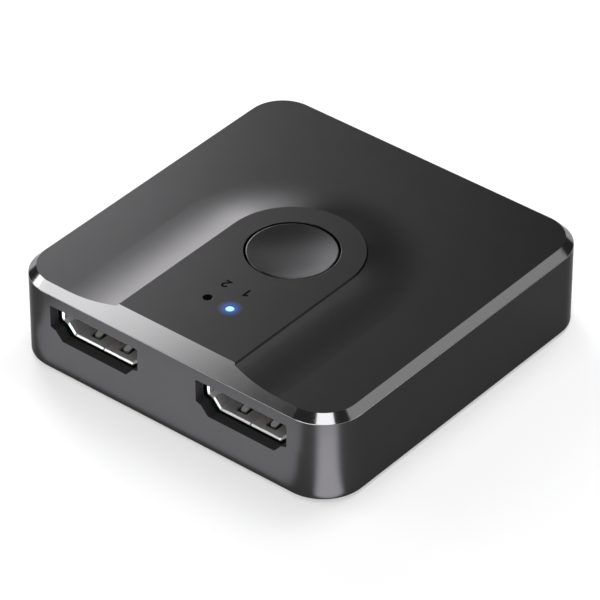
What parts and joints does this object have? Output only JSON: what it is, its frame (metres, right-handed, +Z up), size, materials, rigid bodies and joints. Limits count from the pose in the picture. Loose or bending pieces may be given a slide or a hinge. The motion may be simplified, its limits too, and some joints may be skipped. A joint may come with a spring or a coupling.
{
  "type": "video switch",
  "caption": "Small square two-way digital video switch: receptacles front and rear, a dished push button and channel lights on a raised tongue of its metal roof.",
  "frame": {"origin": "on the table under the middle of the case, at the level of the rubber feet's undersides", "axes": "+X right, +Y to the rear where the single receptacle is, +Z up; the two receptacles and the channel lights are on the -Y side"},
  "size_m": [0.055, 0.0558, 0.0149],
  "materials": {
    "case_metal": "satin anodised, cut edges bright",
    "cover_plastic": "fine moulded texture",
    "foot_rubber": "matte",
    "screw_steel": "black zinc",
    "board_laminate": "solder mask",
    "button_metal": "satin anodised, rim bright",
    "plunger_plastic": "smooth",
    "switch_plastic": "smooth",
    "switch_metal": "bright",
    "actuator_plastic": "smooth",
    "dome_metal": "bright",
    "tinned_metal": "tinned",
    "shroud_plastic": "smooth",
    "lit_lens": "clear, lit from below",
    "dark_lens": "smoked, unlit",
    "led_ceramic": "matte",
    "chip_epoxy": "moulded epoxy",
    "capacitor_ceramic": "matte",
    "resistor_coat": "glazed",
    "crystal_can": "plated",
    "port_steel": "nickel plated, folded sheet",
    "port_plastic": "moulded",
    "contact_gold": "gold flash"
  },
  "bodies": {
    "housing": {"bottom_cover": "cover_plastic", "capacitors": "capacitor_ceramic", "capacitors_terminals": "tinned_metal", "case_screws": "screw_steel", "channel_1_led_base": "led_ceramic", "channel_1_led_lens": "lit_lens", "channel_1_light_pipe": "lit_lens", "channel_2_led_base": "led_ceramic", "channel_2_led_lens": "dark_lens", "channel_2_light_pipe": "dark_lens", "circuit_board": "board_laminate", "crystal": "crystal_can", "front_left_foot": "foot_rubber", "front_left_port_insulator": "port_plastic", "front_left_port_lower_contacts": "contact_gold", "front_left_port_shell": "port_steel", "front_left_port_upper_contacts": "contact_gold", "front_right_foot": "foot_rubber", "front_right_port_insulator": "port_plastic", "front_right_port_lower_contacts": "contact_gold", "front_right_port_shell": "port_steel", "front_right_port_upper_contacts": "contact_gold", "light_shroud": "shroud_plastic", "logic_chip": "chip_epoxy", "logic_chip_leads": "tinned_metal", "rear_left_foot": "foot_rubber", "rear_port_insulator": "port_plastic", "rear_port_lower_contacts": "contact_gold", "rear_port_shell": "port_steel", "rear_port_upper_contacts": "contact_gold", "rear_right_foot": "foot_rubber", "regulator": "chip_epoxy", "regulator_leads": "tinned_metal", "resistors": "resistor_coat", "resistors_terminals": "tinned_metal", "surge_protectors": "chip_epoxy", "tact_base": "switch_plastic", "tact_cover": "switch_metal", "tact_dome": "dome_metal", "tact_legs": "tinned_metal", "top_shell": "case_metal", "video_chip": "chip_epoxy", "video_chip_leads": "tinned_metal"},
    "button": {"button_cap": "button_metal", "button_plunger": "plunger_plastic"},
    "switch_actuator": {"tact_actuator": "actuator_plastic"}
  },
  "joints": [
    {"name": "button_press", "type": "slide", "parent": "housing", "child": "button", "axis": [0, 0, 1], "range_m": [-0.00025, 0], "stiffness_N_per_m": 2000},
    {"name": "switch_actuator_press", "type": "slide", "parent": "housing", "child": "switch_actuator", "axis": [0, 0, 1], "range_m": [-0.00025, 0], "deforming": ["tact_dome"]}
  ],
  "couplings": [
    {"joint": "switch_actuator_press", "follows": "button_press", "ratio": 1}
  ]
}
